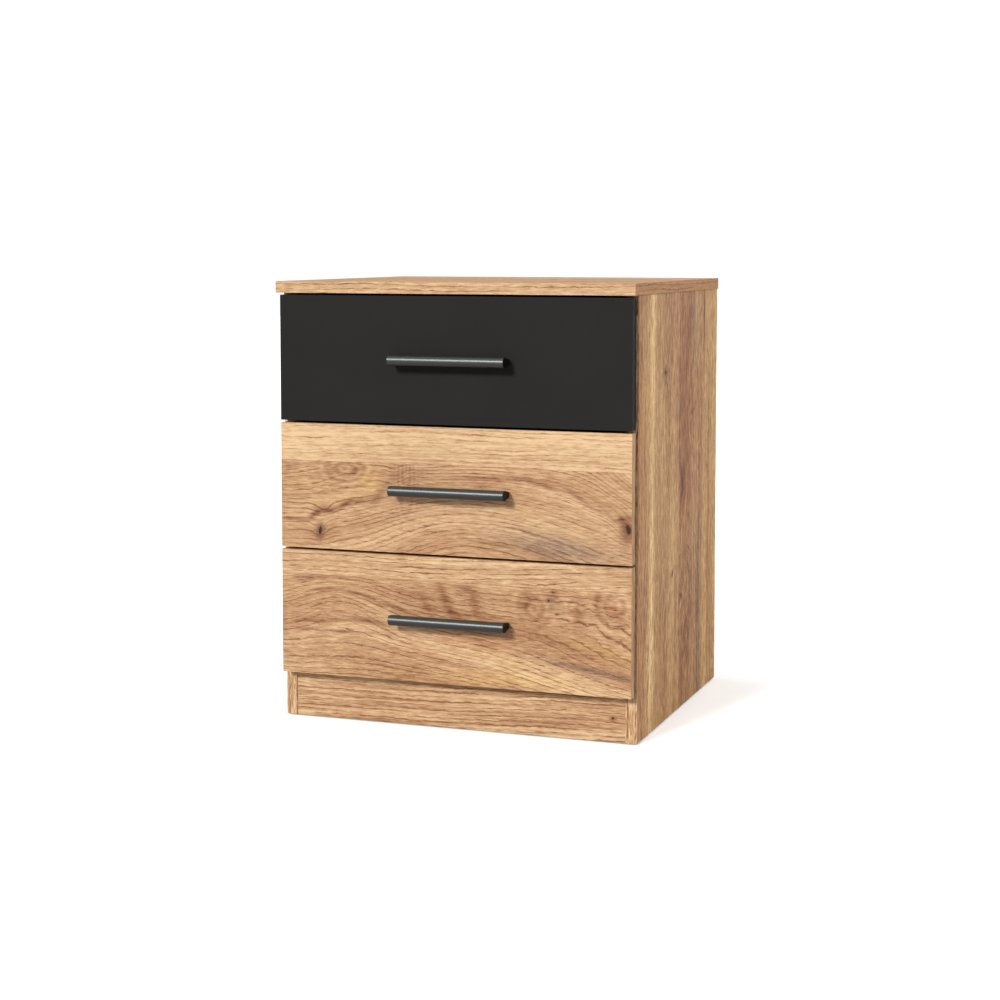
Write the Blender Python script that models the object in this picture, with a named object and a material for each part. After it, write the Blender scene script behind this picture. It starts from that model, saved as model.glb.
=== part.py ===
"""Bedside cabinet with three drawers on roller runners, in metres, +Z up, drawer fronts facing -Y.

The world origin is at floor level, in the middle of the cabinet's overall width and depth, handles
included. Two kinds of frame hang from it. The cabinet frame has x = 0 on the centre line, y = 0 at
the front edges of the side panels and z = 0 on the floor. Each drawer frame has its origin at the
middle of the lower rear edge of that drawer's front, and slides along -Y.
"""

from math import pi, sqrt

import bmesh
import bpy

# Boards
BOARD = 0.016  # carcass and front boards
DRAWER_BOARD = 0.012  # drawer sides and back
THIN_BOARD = 0.003  # hardboard of the back and of the drawer bottoms
FIT_GAP = 0.0003  # left between pieces that touch
GROOVE_PLAY = 0.0006  # how much wider a groove is than its thin board
GROOVE_DEPTH = 0.006

# Carcass
HEIGHT = 0.618
TOP_WIDTH = 0.520
TOP_DEPTH = 0.460
TOP_SIDE_OVERHANG = 0.0015
TOP_FRONT_OVERHANG = 0.023
PLINTH_HEIGHT = 0.070
PLINTH_SETBACK = 0.0008
REAR_PLINTH_SETBACK = 0.030  # in front of the hardboard back
BACK_INSET = 0.012  # from the rear edges of the sides to their groove
BACK_LIFT = 0.020  # bare strip under the hardboard back

# Glides under the side panels
GLIDE_HEIGHT = 0.0015
GLIDE_RADIUS = 0.007
GLIDE_CHAMFER = 0.0005
GLIDE_INSET = 0.030  # from the front and rear edges of a side panel
NAIL_RADIUS = 0.001
NAIL_LENGTH = 0.010

# Drawer fronts
FRONT_TOP_GAP = 0.003
FRONT_GAP = 0.0035  # between two fronts
FRONT_SIDE_INSET = 0.003
FRONT_CLEARANCE = 0.0027  # between a front and the side panels' edges
PLINTH_OVERLAP = 0.003  # how far the lowest front covers the plinth

# Drawer boxes
BOX_LIFT = 0.030  # above the lower edge of the front
BOX_DROP = 0.025  # below the upper edge of the front
BOTTOM_LIFT = 0.010  # from the lower edge of the box to the groove

# Roller runners
RUNNER_SPACE = 0.0125  # between a side panel and the drawer box
RUNNER_STEP = 0.050  # lengths that runners come in
RUNNER_SETBACK = 0.003
RUNNER_OVERLAP = 0.100  # what stays inside at full extension
SHEET = 0.001
ROLLER_RADIUS = 0.010
ROLLER_BORE = 0.0028
ROLLER_START = 0.0023  # inner edge of the rollers' lane, measured from the side panel
ROLLER_PLAY = 0.0006  # between a roller and the lip of its track
ROLLER_INSET = 0.011  # roller axis from the end of its profile
FRONT_ROLLER_INSET = 0.019
FRONT_ROLLER_RISE = 0.001  # cabinet roller above the drawer roller
AXIS_LIFT = 0.009  # drawer roller axis above the lower edge of the box
WEB_PLAY = 0.001  # between the cabinet profile's track and the drawer profile's web
TRACK_LIP = 0.002
GUARD_WIDTH = 0.0044  # upper flange of the cabinet profile
GUARD_PLAY = 0.0006
RAIL_PLAY = 0.0008  # between that flange and the upper flange of the drawer profile
HOOK_WIDTH = 0.010  # flange under the drawer side
STOP_DROP = 0.0036
STOP_LENGTH = 0.002
AXLE_RADIUS = 0.0025
AXLE_COLLAR_RADIUS = 0.004
AXLE_HEAD_RADIUS = 0.0038
AXLE_HEAD = 0.0006
THIN_AXLE_HEAD = 0.0003  # beside the cabinet profile

# Handles
HANDLE_HOLES = 0.160  # between the two screws
HANDLE_PROJECTION = 0.026
HANDLE_HEIGHT = 0.014
HANDLE_DEPTH = 0.009
LEG_WIDTH = 0.008
LEG_HEIGHT = 0.008  # at the foot
HANDLE_ROUNDING = 0.0065  # of the bar's two front edges
SCREW_RADIUS = 0.002
SCREW_HOLE_PLAY = 0.0005
SCREW_GRIP = 0.008  # in the handle
SCREW_HEAD_RADIUS = 0.0042
SCREW_HEAD = 0.0024
SCREW_SLOT = 0.0012

# Facets
ROLLER_SIDES = 24
PIN_SIDES = 12
ROUNDING_STEPS = 6
MERGE = 0.00001

LEVELS = ("bottom", "middle", "top")
SIDES = (("left", -1), ("right", 1))

# Sizes that follow from those above
carcass_width = TOP_WIDTH - 2 * TOP_SIDE_OVERHANG
carcass_depth = TOP_DEPTH - TOP_FRONT_OVERHANG
inner_half = carcass_width / 2 - BOARD
top_underside = HEIGHT - BOARD
panel_bottom = GLIDE_HEIGHT + FIT_GAP
panel_top = top_underside - FIT_GAP
bottom_top = PLINTH_HEIGHT + BOARD
back_groove_rear = carcass_depth - BACK_INSET
back_groove_front = back_groove_rear - THIN_BOARD - GROOVE_PLAY
inner_depth = back_groove_front - FIT_GAP

fronts_bottom = PLINTH_HEIGHT - PLINTH_OVERLAP
fronts_height = top_underside - FRONT_TOP_GAP - fronts_bottom
front_height = (fronts_height - FRONT_GAP * (len(LEVELS) - 1)) / len(LEVELS)
front_half = carcass_width / 2 - FRONT_SIDE_INSET
front_reach = FRONT_CLEARANCE + BOARD + HANDLE_PROJECTION

box_half = inner_half - RUNNER_SPACE
box_inner_half = box_half - DRAWER_BOARD
box_top = front_height - BOX_DROP
groove_bottom = BOX_LIFT + BOTTOM_LIFT
groove_top = groove_bottom + THIN_BOARD + GROOVE_PLAY
thin_bottom = groove_bottom + GROOVE_PLAY / 2

runner_space = inner_depth - RUNNER_SETBACK
runner_length = RUNNER_STEP * int(runner_space / RUNNER_STEP)
travel = runner_length - RUNNER_OVERLAP
track_width = RUNNER_SPACE - FIT_GAP - SHEET - WEB_PLAY
roller_end = track_width - SHEET - ROLLER_PLAY
rail_start = GUARD_WIDTH + RAIL_PLAY
handle_z = front_height / 2
screw_hole_radius = SCREW_RADIUS + SCREW_HOLE_PLAY


def finish(name, colour, roughness, metallic=0.0):
    """A plain material: linear colour, roughness and metallic value."""
    material = bpy.data.materials.new(name)
    material.use_nodes = True
    shader = material.node_tree.nodes["Principled BSDF"]
    shader.inputs["Base Color"].default_value = (*colour, 1.0)
    shader.inputs["Roughness"].default_value = roughness
    shader.inputs["Metallic"].default_value = metallic
    material.diffuse_color = (*colour, 1.0)
    return material


def frame_empty(name, location, parent=None):
    """An empty that carries the pieces of one frame."""
    empty = bpy.data.objects.new(name, None)
    bpy.context.collection.objects.link(empty)
    empty.parent = parent
    empty.location = location
    return empty


def place(name, shape, material, parent, location=(0, 0, 0), rotation=(0, 0, 0)):
    """Turns a finished bmesh into a named object at its place under its parent."""
    bmesh.ops.recalc_face_normals(shape, faces=shape.faces)
    mesh = bpy.data.meshes.new(name)
    shape.to_mesh(mesh)
    shape.free()
    piece = bpy.data.objects.new(name, mesh)
    bpy.context.collection.objects.link(piece)
    piece.parent = parent
    piece.location = location
    piece.rotation_euler = rotation
    if material:
        mesh.materials.append(material)
    return piece


def board(name, low, high, material, parent):
    """A rectangular board between two opposite corners."""
    size = [b - a for a, b in zip(low, high)]
    centre = [(a + b) / 2 for a, b in zip(low, high)]
    shape = bmesh.new()
    bmesh.ops.create_cube(shape, size=1.0)
    bmesh.ops.scale(shape, vec=size, verts=shape.verts)
    return place(name, shape, material, parent, centre)


def extrusion(name, outline, start, end, material, parent, location=(0, 0, 0)):
    """An outline drawn from start, swept in a straight line to end."""
    shape = bmesh.new()
    face = shape.faces.new([shape.verts.new(point) for point in outline])
    swept = bmesh.ops.extrude_face_region(shape, geom=[face])["geom"]
    moved = [item for item in swept if isinstance(item, bmesh.types.BMVert)]
    shift = [b - a for a, b in zip(start, end)]
    bmesh.ops.translate(shape, vec=shift, verts=moved)
    bmesh.ops.translate(shape, vec=start, verts=shape.verts)
    return place(name, shape, material, parent, location)


def turned(name, profile, sides, material, parent, location, rotation=(0, 0, 0)):
    """A profile of (radius, height) points spun about local Z, closed if it leaves the axis."""
    shape = bmesh.new()
    points = [shape.verts.new((radius, 0, height)) for radius, height in profile]
    edges = [shape.edges.new(pair) for pair in zip(points, points[1:])]
    if profile[0][0] > 0:
        edges.append(shape.edges.new((points[-1], points[0])))
    bmesh.ops.spin(
        shape,
        geom=points + edges,
        cent=(0, 0, 0),
        axis=(0, 0, 1),
        angle=2 * pi,
        steps=sides,
        use_merge=True,
    )
    bmesh.ops.remove_doubles(shape, verts=shape.verts, dist=MERGE)
    piece = place(name, shape, material, parent, location, rotation)
    piece.data.shade_smooth()
    piece.data.set_sharp_from_angle(angle=pi / 6)
    return piece


def combine(piece, tool, operation):
    """Joins a hidden helper solid to a piece, or cuts it away."""
    modifier = piece.modifiers.new(tool.name, "BOOLEAN")
    modifier.operation = operation
    modifier.solver = "EXACT"
    modifier.object = tool
    tool.hide_render = True
    tool.display_type = "WIRE"


def side_panel(side, sign):
    """A side panel with the groove for the back, and holes for the nails of its glides."""
    inner = sign * inner_half
    outer = sign * carcass_width / 2
    groove = inner + sign * GROOVE_DEPTH
    outline = (
        (outer, 0, 0),
        (outer, carcass_depth, 0),
        (inner, carcass_depth, 0),
        (inner, back_groove_rear, 0),
        (groove, back_groove_rear, 0),
        (groove, back_groove_front, 0),
        (inner, back_groove_front, 0),
        (inner, 0, 0),
    )
    panel = extrusion(
        f"side_panel_{side}",
        outline,
        (0, 0, panel_bottom),
        (0, 0, panel_top),
        oak,
        cabinet,
    )
    hole = NAIL_LENGTH + 2 * FIT_GAP
    for end, y in glide_places.items():
        profile = (
            (0, -FIT_GAP),
            (NAIL_RADIUS + FIT_GAP, -FIT_GAP),
            (NAIL_RADIUS + FIT_GAP, hole),
            (0, hole),
        )
        spot = (sign * (inner_half + BOARD / 2), y, panel_bottom)
        drill = turned(f"drill_{end}_{side}", profile, PIN_SIDES, None, cabinet, spot)
        combine(panel, drill, "DIFFERENCE")


def glide(end, side, sign, y):
    """A nail-on glide: a chamfered disc on the floor with its nail up in the panel."""
    nail_top = panel_bottom + NAIL_LENGTH
    profile = (
        (0, 0),
        (GLIDE_RADIUS - GLIDE_CHAMFER, 0),
        (GLIDE_RADIUS, GLIDE_CHAMFER),
        (GLIDE_RADIUS, GLIDE_HEIGHT),
        (NAIL_RADIUS, GLIDE_HEIGHT),
        (NAIL_RADIUS, nail_top),
        (0, nail_top),
    )
    spot = (sign * (inner_half + BOARD / 2), y, 0)
    turned(f"glide_{end}_{side}", profile, PIN_SIDES, glide_plastic, cabinet, spot)


def carcass():
    """Top, bottom, plinths and back between the two side panels."""
    top_half = TOP_WIDTH / 2
    board(
        "top_panel",
        (-top_half, -TOP_FRONT_OVERHANG, top_underside),
        (top_half, carcass_depth, HEIGHT),
        oak,
        cabinet,
    )
    half = inner_half - FIT_GAP
    board(
        "bottom_panel",
        (-half, PLINTH_SETBACK, PLINTH_HEIGHT + FIT_GAP),
        (half, inner_depth, bottom_top),
        oak,
        cabinet,
    )
    board(
        "plinth_front",
        (-half, PLINTH_SETBACK, panel_bottom),
        (half, PLINTH_SETBACK + BOARD, PLINTH_HEIGHT),
        oak,
        cabinet,
    )
    rear = back_groove_front - REAR_PLINTH_SETBACK
    board(
        "plinth_rear",
        (-half, rear - BOARD, panel_bottom),
        (half, rear, PLINTH_HEIGHT),
        oak,
        cabinet,
    )
    back_half = inner_half + GROOVE_DEPTH - FIT_GAP
    back_front = back_groove_front + GROOVE_PLAY / 2
    board(
        "back_panel",
        (-back_half, back_front, panel_bottom + BACK_LIFT),
        (back_half, back_front + THIN_BOARD, panel_top),
        hardboard,
        cabinet,
    )


def lane(sign, distance):
    """The x of a point in the runner space, given its distance from the side panel."""
    return sign * (inner_half - distance)


def roller_axle(name, start, end, head_end, sign, parent, y, z):
    """A riveted axle along X: a collar from start, a pin to end and a head to head_end."""
    way = 1 if end > start else -1
    collar_end = ROLLER_START - FIT_GAP if way > 0 else roller_end + FIT_GAP
    lengths = [abs(d - start) for d in (collar_end, end, head_end)]
    profile = (
        (0, -SHEET / 2),
        (AXLE_COLLAR_RADIUS, -SHEET / 2),
        (AXLE_COLLAR_RADIUS, lengths[0]),
        (AXLE_RADIUS, lengths[0]),
        (AXLE_RADIUS, lengths[1]),
        (AXLE_HEAD_RADIUS, lengths[1]),
        (AXLE_HEAD_RADIUS, lengths[2]),
        (0, lengths[2]),
    )
    spot = (lane(sign, start), y, z)
    turn = (0, -sign * way * pi / 2, 0)
    return turned(name, profile, PIN_SIDES, None, parent, spot, turn)


def roller(name, sign, parent, y, z):
    """A nylon roller in the runner's lane, its origin on its own axis."""
    half = (roller_end - ROLLER_START) / 2
    profile = (
        (ROLLER_BORE, -half),
        (ROLLER_RADIUS, -half),
        (ROLLER_RADIUS, half),
        (ROLLER_BORE, half),
    )
    spot = (lane(sign, ROLLER_START + half), y, z)
    turned(name, profile, ROLLER_SIDES, nylon, parent, spot, (0, pi / 2, 0))


def cabinet_runner(level, side, sign, axis_z):
    """The channel on the side panel, with a roller at its front and a stop for the drawer's roller."""
    web = FIT_GAP
    track = -ROLLER_RADIUS - FIT_GAP
    guard = ROLLER_RADIUS + FRONT_ROLLER_RISE + GUARD_PLAY
    section = (
        (web, track - SHEET),
        (track_width, track - SHEET),
        (track_width, track + TRACK_LIP),
        (track_width - SHEET, track + TRACK_LIP),
        (track_width - SHEET, track),
        (web + SHEET, track),
        (web + SHEET, guard),
        (GUARD_WIDTH, guard),
        (GUARD_WIDTH, guard + SHEET),
        (web, guard + SHEET),
    )
    outline = [(lane(sign, d), 0, z) for d, z in section]
    name = f"{level}_cabinet_runner_{side}"
    rear = RUNNER_SETBACK + runner_length
    profile = extrusion(
        name, outline, (0, RUNNER_SETBACK, axis_z), (0, rear, axis_z), epoxy, cabinet
    )
    roller_y = RUNNER_SETBACK + FRONT_ROLLER_INSET
    roller_z = axis_z + FRONT_ROLLER_RISE
    pin_end = roller_end + FIT_GAP
    axle = roller_axle(
        f"{name}_axle",
        web + SHEET,
        pin_end,
        pin_end + AXLE_HEAD,
        sign,
        cabinet,
        roller_y,
        roller_z,
    )
    combine(profile, axle, "UNION")
    stop_edge = guard - STOP_DROP
    reach = sqrt(ROLLER_RADIUS**2 - stop_edge**2) + FIT_GAP
    drawer_roller_y = -FRONT_CLEARANCE + FIT_GAP + runner_length - ROLLER_INSET
    stop_rear = drawer_roller_y - travel - reach
    xs = sorted((lane(sign, web + SHEET / 2), lane(sign, GUARD_WIDTH)))
    stop = board(
        f"{name}_stop",
        (xs[0], stop_rear - STOP_LENGTH, axis_z + stop_edge),
        (xs[1], stop_rear, axis_z + guard + SHEET / 2),
        None,
        cabinet,
    )
    combine(profile, stop, "UNION")
    roller(f"{level}_cabinet_roller_{side}", sign, cabinet, roller_y, roller_z)


def drawer_runner(level, side, sign, drawer):
    """The rail that hooks under a drawer side and rides on the cabinet roller, its own roller behind."""
    axis_z = BOX_LIFT + AXIS_LIFT
    rail = axis_z + FRONT_ROLLER_RISE + ROLLER_RADIUS + FIT_GAP
    web_in = RUNNER_SPACE - FIT_GAP
    web_out = web_in - SHEET
    hook = BOX_LIFT - FIT_GAP
    section = (
        (rail_start, rail),
        (web_out, rail),
        (web_out, hook - SHEET),
        (RUNNER_SPACE + HOOK_WIDTH, hook - SHEET),
        (RUNNER_SPACE + HOOK_WIDTH, hook),
        (web_in, hook),
        (web_in, rail + SHEET),
        (rail_start, rail + SHEET),
    )
    outline = [(lane(sign, d), 0, z) for d, z in section]
    name = f"{level}_drawer_runner_{side}"
    profile = extrusion(
        name, outline, (0, FIT_GAP, 0), (0, FIT_GAP + runner_length, 0), epoxy, drawer
    )
    roller_y = FIT_GAP + runner_length - ROLLER_INSET
    pin_end = ROLLER_START - FIT_GAP
    axle = roller_axle(
        f"{name}_axle",
        web_out,
        pin_end,
        pin_end - THIN_AXLE_HEAD,
        sign,
        drawer,
        roller_y,
        axis_z,
    )
    combine(profile, axle, "UNION")
    roller(f"{level}_drawer_roller_{side}", sign, drawer, roller_y, axis_z)


def drawer_side(level, side, sign, drawer):
    """A drawer side with the groove for the bottom along its inner face."""
    outer = sign * box_half
    inner = sign * box_inner_half
    groove = inner + sign * GROOVE_DEPTH
    outline = (
        (outer, 0, BOX_LIFT),
        (outer, 0, box_top),
        (inner, 0, box_top),
        (inner, 0, groove_top),
        (groove, 0, groove_top),
        (groove, 0, groove_bottom),
        (inner, 0, groove_bottom),
        (inner, 0, BOX_LIFT),
    )
    extrusion(
        f"{level}_drawer_side_{side}",
        outline,
        (0, FIT_GAP, 0),
        (0, FIT_GAP + runner_length, 0),
        melamine,
        drawer,
    )


def drawer_front(level, material, drawer):
    """The front board, with a stopped groove for the bottom and two holes for the handle screws."""
    front = board(
        f"{level}_drawer_front",
        (-front_half, -BOARD, 0),
        (front_half, 0, front_height),
        material,
        drawer,
    )
    groove_half = box_inner_half + GROOVE_DEPTH
    cutter = board(
        f"{level}_groove_cutter",
        (-groove_half, -GROOVE_DEPTH, groove_bottom),
        (groove_half, FIT_GAP, groove_top),
        None,
        drawer,
    )
    combine(front, cutter, "DIFFERENCE")
    for side, sign in SIDES:
        profile = (
            (0, -FIT_GAP),
            (screw_hole_radius, -FIT_GAP),
            (screw_hole_radius, BOARD + FIT_GAP),
            (0, BOARD + FIT_GAP),
        )
        spot = (sign * HANDLE_HOLES / 2, -BOARD, handle_z)
        drill = turned(
            f"{level}_screw_drill_{side}",
            profile,
            PIN_SIDES,
            None,
            drawer,
            spot,
            (-pi / 2, 0, 0),
        )
        combine(front, drill, "DIFFERENCE")


def drawer_box(level, drawer):
    """Back and bottom of the drawer box."""
    half = box_inner_half - FIT_GAP
    rear = FIT_GAP + runner_length
    board(
        f"{level}_drawer_back",
        (-half, rear - DRAWER_BOARD, thin_bottom + THIN_BOARD + FIT_GAP),
        (half, rear, box_top),
        melamine,
        drawer,
    )
    wide = box_inner_half + GROOVE_DEPTH - FIT_GAP
    board(
        f"{level}_drawer_bottom",
        (-wide, FIT_GAP - GROOVE_DEPTH, thin_bottom),
        (wide, rear, thin_bottom + THIN_BOARD),
        hardboard,
        drawer,
    )


def handle_shape():
    """A bow handle about its own middle: a bar with a rounded front, and legs that taper to the feet."""
    outer = (HANDLE_HOLES + LEG_WIDTH) / 2
    inner = outer - LEG_WIDTH
    foot = -FIT_GAP
    bar_back = HANDLE_DEPTH - HANDLE_PROJECTION
    corners = (
        (-outer, foot),
        (-outer, bar_back),
        (-outer, -HANDLE_PROJECTION),
        (outer, -HANDLE_PROJECTION),
        (outer, bar_back),
        (outer, foot),
        (inner, foot),
        (inner, bar_back),
        (-inner, bar_back),
        (-inner, foot),
    )
    shape = bmesh.new()
    layers = []
    for way in (-1, 1):
        heights = [LEG_HEIGHT if y == foot else HANDLE_HEIGHT for _, y in corners]
        spots = [(x, y, way * high / 2) for (x, y), high in zip(corners, heights)]
        layers.append([shape.verts.new(spot) for spot in spots])
    for layer in layers:
        for loop in ((0, 1, 8, 9), (1, 2, 3, 4, 7, 8), (4, 5, 6, 7)):
            shape.faces.new([layer[corner] for corner in loop])
    low, high = layers
    for corner, vertex in enumerate(low):
        after = (corner + 1) % len(corners)
        shape.faces.new((vertex, low[after], high[after], high[corner]))
    front = [shape.edges.get((layer[2], layer[3])) for layer in layers]
    bmesh.ops.bevel(
        shape,
        geom=front,
        offset=HANDLE_ROUNDING,
        segments=ROUNDING_STEPS,
        profile=0.5,
        affect="EDGES",
    )
    return shape


def handle(level, drawer):
    """The handle on the face of a front, bored from behind for its two screws."""
    spot = (0, -BOARD, handle_z)
    bar = place(f"{level}_handle", handle_shape(), handle_metal, drawer, spot)
    bar.data.shade_smooth()
    bar.data.set_sharp_from_angle(angle=pi / 6)
    hole = SCREW_GRIP + FIT_GAP
    for side, sign in SIDES:
        profile = (
            (0, -FIT_GAP),
            (SCREW_RADIUS + FIT_GAP, -FIT_GAP),
            (SCREW_RADIUS + FIT_GAP, hole),
            (0, hole),
        )
        spot = (sign * HANDLE_HOLES / 2, -BOARD - FIT_GAP, handle_z)
        drill = turned(
            f"{level}_handle_drill_{side}", profile, PIN_SIDES, None, drawer, spot, (pi / 2, 0, 0)
        )
        combine(bar, drill, "DIFFERENCE")


def handle_screw(level, side, sign, drawer):
    """A pan-head screw from inside the drawer, through the front and into the handle's leg."""
    tip = SCREW_GRIP + BOARD + FIT_GAP
    profile = (
        (0, -SCREW_HEAD),
        (SCREW_HEAD_RADIUS - SCREW_HEAD / 3, -SCREW_HEAD),
        (SCREW_HEAD_RADIUS, -SCREW_HEAD / 2),
        (SCREW_HEAD_RADIUS, 0),
        (SCREW_RADIUS, 0),
        (SCREW_RADIUS, tip),
        (0, tip),
    )
    spot = (sign * HANDLE_HOLES / 2, FIT_GAP, handle_z)
    name = f"{level}_handle_screw_{side}"
    screw = turned(name, profile, PIN_SIDES, zinc, drawer, spot, (pi / 2, 0, 0))
    x, _, z = spot
    blade = board(
        f"{name}_slot",
        (x - SCREW_SLOT / 2, spot[1] + SCREW_HEAD / 2, z - SCREW_HEAD_RADIUS),
        (x + SCREW_SLOT / 2, spot[1] + 2 * SCREW_HEAD, z + SCREW_HEAD_RADIUS),
        None,
        drawer,
    )
    combine(screw, blade, "DIFFERENCE")


def drawer_unit(level, index):
    """One drawer in its own frame, with the runners on both sides of it."""
    low = fronts_bottom + index * (front_height + FRONT_GAP)
    drawer = frame_empty(f"{level}_drawer", (0, -FRONT_CLEARANCE, low), cabinet)
    drawer_front(level, anthracite if level == "top" else oak, drawer)
    drawer_box(level, drawer)
    handle(level, drawer)
    for side, sign in SIDES:
        drawer_side(level, side, sign, drawer)
        drawer_runner(level, side, sign, drawer)
        handle_screw(level, side, sign, drawer)
        cabinet_runner(level, side, sign, low + BOX_LIFT + AXIS_LIFT)


for old in list(bpy.data.objects):
    bpy.data.objects.remove(old, do_unlink=True)

oak = finish("oak_decor", (0.55, 0.34, 0.17), 0.55)
anthracite = finish("anthracite_decor", (0.028, 0.027, 0.026), 0.6)
melamine = finish("drawer_melamine", (0.62, 0.61, 0.58), 0.5)
hardboard = finish("hardboard", (0.60, 0.58, 0.54), 0.6)
handle_metal = finish("handle_metal", (0.05, 0.052, 0.055), 0.32, 0.9)
epoxy = finish("runner_epoxy", (0.75, 0.75, 0.74), 0.4)
nylon = finish("roller_nylon", (0.80, 0.80, 0.78), 0.45)
zinc = finish("screw_zinc", (0.56, 0.57, 0.58), 0.3, 1.0)
glide_plastic = finish("glide_plastic", (0.10, 0.07, 0.05), 0.5)

cabinet = frame_empty("cabinet", (0, (front_reach - carcass_depth) / 2, 0))
glide_places = {"front": GLIDE_INSET, "rear": carcass_depth - GLIDE_INSET}

carcass()
for side, sign in SIDES:
    side_panel(side, sign)
    for end, y in glide_places.items():
        glide(end, side, sign, y)
for index, level in enumerate(LEVELS):
    drawer_unit(level, index)
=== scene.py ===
"""Looks of the nightstand: materials, rounded edges, handles, nails, floor, light and camera.

Lengths are in metres, and angles in degrees unless they go to Blender."""
import math

import bmesh
import bpy
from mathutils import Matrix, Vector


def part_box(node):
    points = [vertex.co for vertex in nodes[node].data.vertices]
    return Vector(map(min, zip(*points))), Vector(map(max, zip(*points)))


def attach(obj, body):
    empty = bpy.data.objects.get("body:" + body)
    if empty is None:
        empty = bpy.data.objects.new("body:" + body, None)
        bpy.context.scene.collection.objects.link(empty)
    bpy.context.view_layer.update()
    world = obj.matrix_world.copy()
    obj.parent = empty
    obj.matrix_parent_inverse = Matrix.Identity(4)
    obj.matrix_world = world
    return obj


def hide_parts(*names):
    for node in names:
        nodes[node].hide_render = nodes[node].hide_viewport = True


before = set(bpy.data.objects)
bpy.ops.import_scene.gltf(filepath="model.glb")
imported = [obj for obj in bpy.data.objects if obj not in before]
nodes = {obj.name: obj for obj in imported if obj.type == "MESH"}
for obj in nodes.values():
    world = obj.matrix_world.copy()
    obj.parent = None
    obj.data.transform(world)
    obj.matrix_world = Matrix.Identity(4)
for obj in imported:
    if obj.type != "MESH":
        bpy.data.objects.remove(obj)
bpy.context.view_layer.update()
LEVELS = ("bottom", "middle", "top")
SIDES = ("left", "right")


# ---------------------------------------------------------------- node graphs
def rgb(red, green, blue):
    """A display colour, 0 to 255, as linear values."""
    def linear(c):
        c /= 255.0
        return c / 12.92 if c <= 0.04045 else ((c + 0.055) / 1.055) ** 2.4
    return (linear(red), linear(green), linear(blue))


class Value:
    """A number in a node graph, so that sums can be written as sums."""

    def __init__(self, graph, socket):
        self.graph, self.socket = graph, socket

    def __add__(self, other):
        return self.graph.math("ADD", self, other)

    def __radd__(self, other):
        return self.graph.math("ADD", other, self)

    def __sub__(self, other):
        return self.graph.math("SUBTRACT", self, other)

    def __rsub__(self, other):
        return self.graph.math("SUBTRACT", other, self)

    def __mul__(self, other):
        return self.graph.math("MULTIPLY", self, other)

    def __truediv__(self, other):
        return self.graph.math("DIVIDE", self, other)

    def __neg__(self):
        return self.graph.math("MULTIPLY", self, -1.0)


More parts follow.
